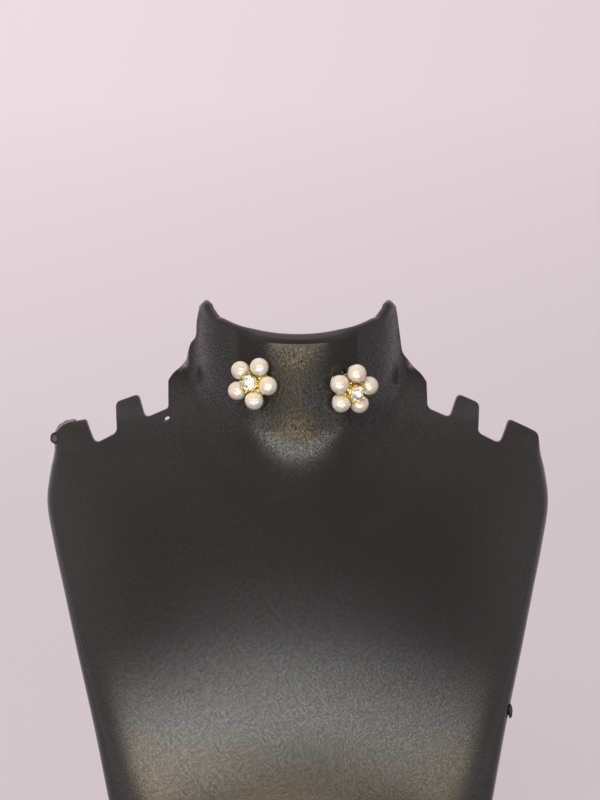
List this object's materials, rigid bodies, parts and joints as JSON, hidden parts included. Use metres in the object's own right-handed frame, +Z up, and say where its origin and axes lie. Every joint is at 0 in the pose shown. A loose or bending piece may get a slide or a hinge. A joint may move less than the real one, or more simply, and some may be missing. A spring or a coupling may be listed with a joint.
{
  "type": "pair of cluster stud earrings on a neck bust display stand",
  "caption": "Round pearl cluster stud earrings with a claw-set crystal, worn by a black plastic neck bust display stand with notched shoulders and a rear prop.",
  "frame": {"origin": "on the floor under the middle of the whole object", "axes": "+Z up; the bust faces -Y; +X is to the right of someone facing it"},
  "size_m": [0.1677, 0.1056, 0.2],
  "materials": {
    "bust_plastic": "black moulded plastic with a fine pebbled grain",
    "pearl": "pearlescent coating",
    "crystal": "cut and polished",
    "gold": "polished gold plate"
  },
  "bodies": {
    "root": {"bust_shell": "bust_plastic", "prop_leg": "bust_plastic", "pearl_left_1": "pearl", "pearl_left_2": "pearl", "pearl_left_3": "pearl", "pearl_left_4": "pearl", "pearl_left_5": "pearl", "pearl_right_1": "pearl", "pearl_right_2": "pearl", "pearl_right_3": "pearl", "pearl_right_4": "pearl", "pearl_right_5": "pearl", "stone_left": "crystal", "stone_right": "crystal", "setting_left": "gold", "setting_right": "gold", "ear_nut_left": "gold", "ear_nut_right": "gold"}
  },
  "joints": []
}
